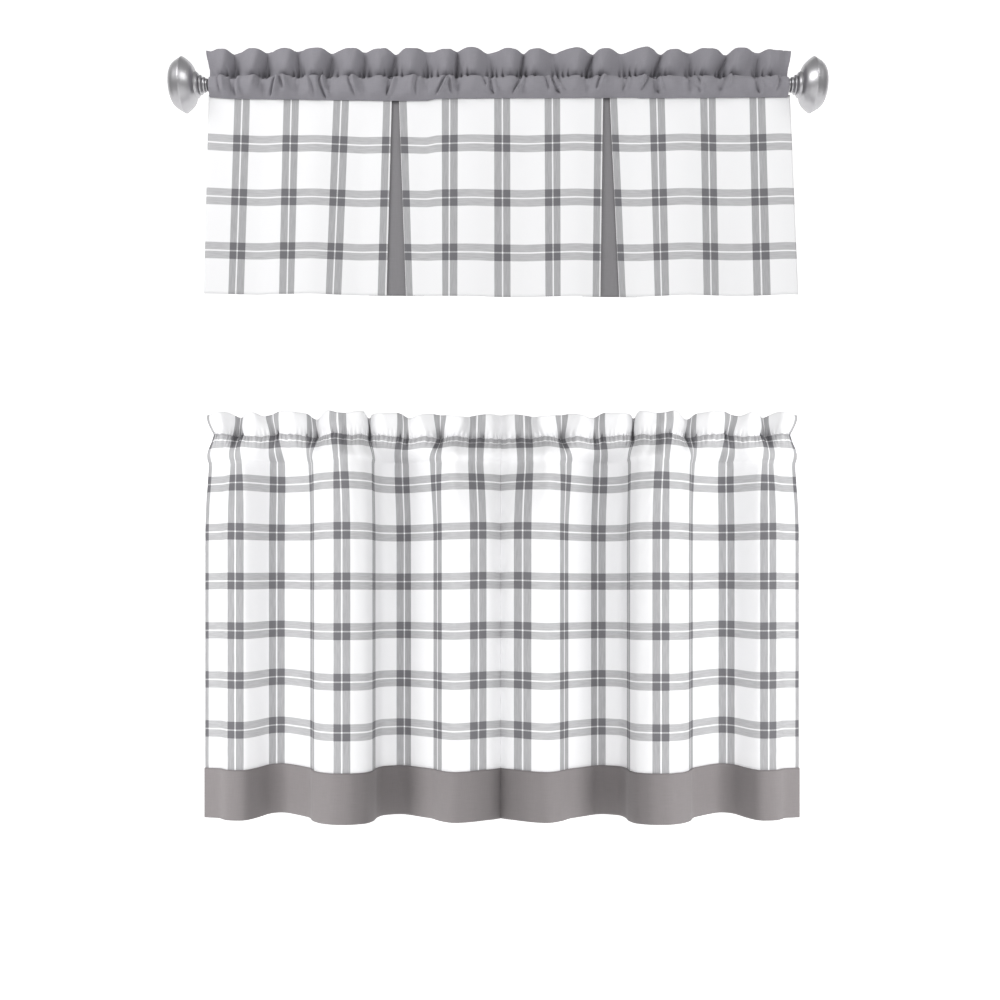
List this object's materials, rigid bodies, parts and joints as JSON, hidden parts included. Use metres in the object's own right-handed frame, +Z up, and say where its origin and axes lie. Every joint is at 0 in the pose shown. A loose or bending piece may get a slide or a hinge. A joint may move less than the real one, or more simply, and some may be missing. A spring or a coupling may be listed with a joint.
{
  "type": "kitchen curtain set, with a gathered valance on its rod and a pair of cafe tiers",
  "caption": "Checked kitchen curtain set: ruffled rod-pocket valance with plain insets on a rod with knob finials, over gathered cafe tiers with a contrast hem band.",
  "frame": {"origin": "the middle of the valance rod's axis, which the rod's brackets hold", "axes": "+Z up, +X to the right as seen from the room, the front of the cloth faces -Y"},
  "size_m": [0.9892, 0.0813, 1.1505],
  "materials": {
    "check_cloth": "white and grey yarn-dyed check, matte plain weave",
    "grey_cloth": "plain grey, matte plain weave",
    "band_cloth": "plain warm grey, matte plain weave",
    "rod_metal": "satin nickel"
  },
  "bodies": {
    "root": {"valance_rod": "rod_metal", "finial_left": "rod_metal", "finial_right": "rod_metal", "valance_heading": "grey_cloth", "valance_panel_left": "check_cloth", "valance_panel_centre": "check_cloth", "valance_panel_right": "check_cloth", "valance_inset_left": "grey_cloth", "valance_inset_right": "grey_cloth", "tier_left_heading": "check_cloth", "tier_left_panel": "check_cloth", "tier_left_band": "band_cloth", "tier_right_heading": "check_cloth", "tier_right_panel": "check_cloth", "tier_right_band": "band_cloth"}
  },
  "joints": []
}
